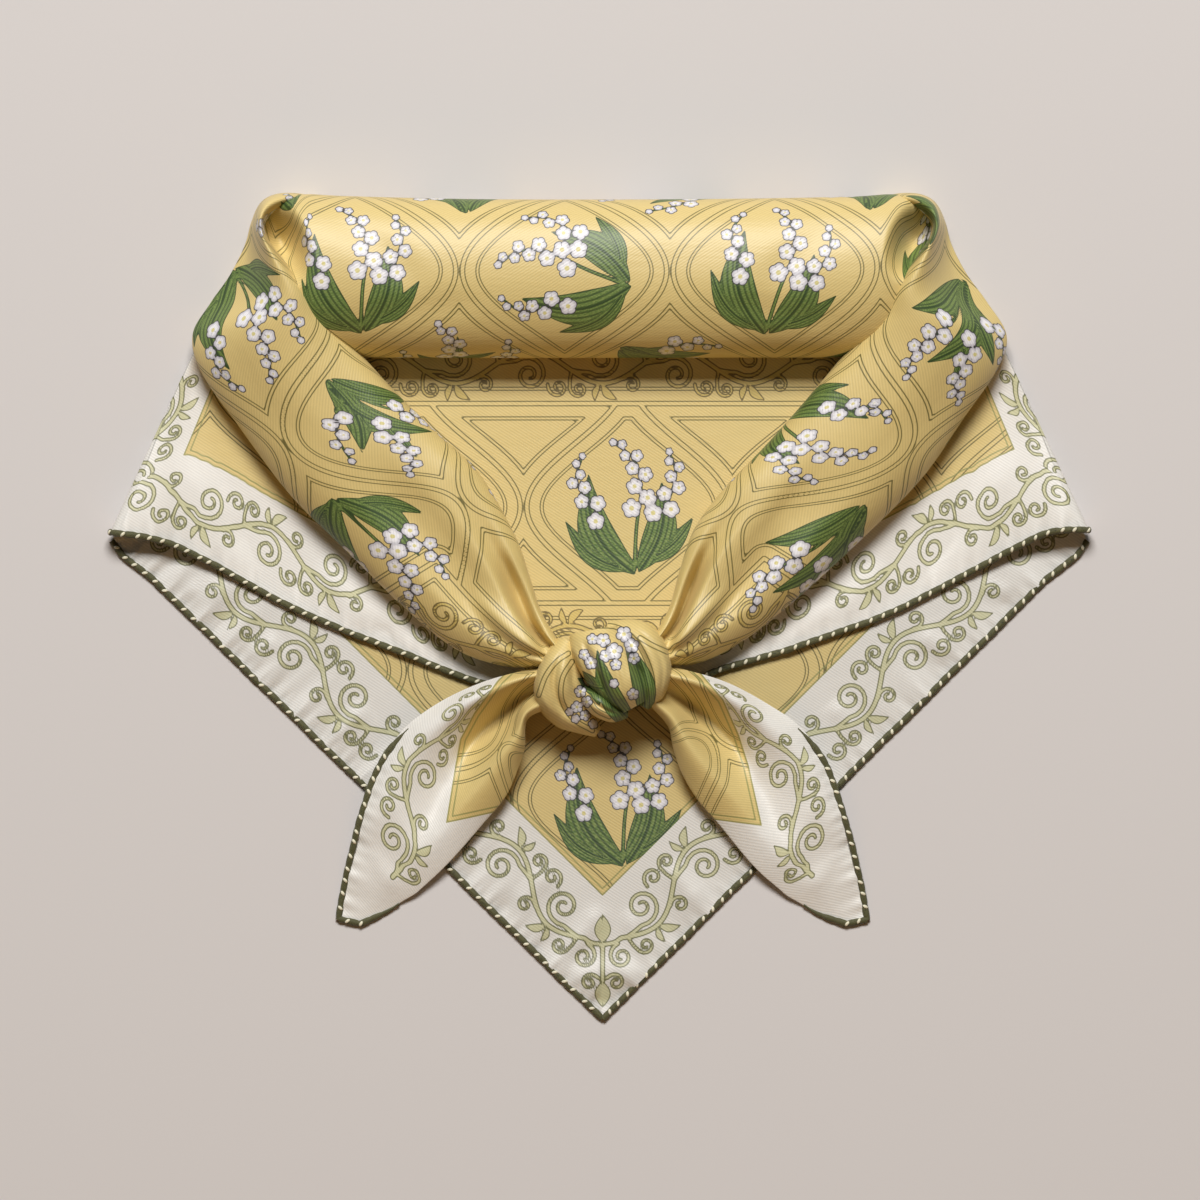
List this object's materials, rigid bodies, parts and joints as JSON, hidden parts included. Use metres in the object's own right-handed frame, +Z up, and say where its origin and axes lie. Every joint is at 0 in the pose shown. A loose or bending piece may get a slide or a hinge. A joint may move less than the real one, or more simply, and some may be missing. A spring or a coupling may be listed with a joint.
{
  "type": "silk square scarf",
  "caption": "Printed silk square scarf, folded on its diagonal, rolled at the neck and knotted in front, laid flat with its rolled, stitched hems showing.",
  "frame": {"origin": "on the table under the middle of the laid-out scarf, at the centre of its bounding box's base", "axes": "+X along the long side, from the left side tip to the right one as seen from above; +Y from the lower point to the nape roll; +Z up from the table"},
  "size_m": [0.4138, 0.3494, 0.041],
  "materials": {
    "silk_border": "cream silk twill with an olive vine print round a gold field, soft sheen",
    "silk_gold": "gold silk twill with white blossoms, green leaves and olive lattice lines, soft sheen",
    "hem_olive": "rolled olive silk hem, hand stitched in cream thread"
  },
  "bodies": {
    "root": {"under_layer": "silk_border", "upper_layer": "silk_border", "back_roll": "silk_gold", "arm_left": "silk_gold", "arm_right": "silk_gold", "tail_left": "silk_border", "tail_right": "silk_border", "knot_front": "silk_gold", "knot_lower": "silk_gold", "knot_left": "silk_gold", "knot_top": "silk_gold", "hem_under_left": "hem_olive", "hem_under_right": "hem_olive", "hem_upper_left": "hem_olive", "hem_upper_right": "hem_olive", "hem_tail_left": "hem_olive", "hem_tail_left_end": "hem_olive", "hem_tail_right": "hem_olive", "hem_tail_right_end": "hem_olive"}
  },
  "joints": []
}
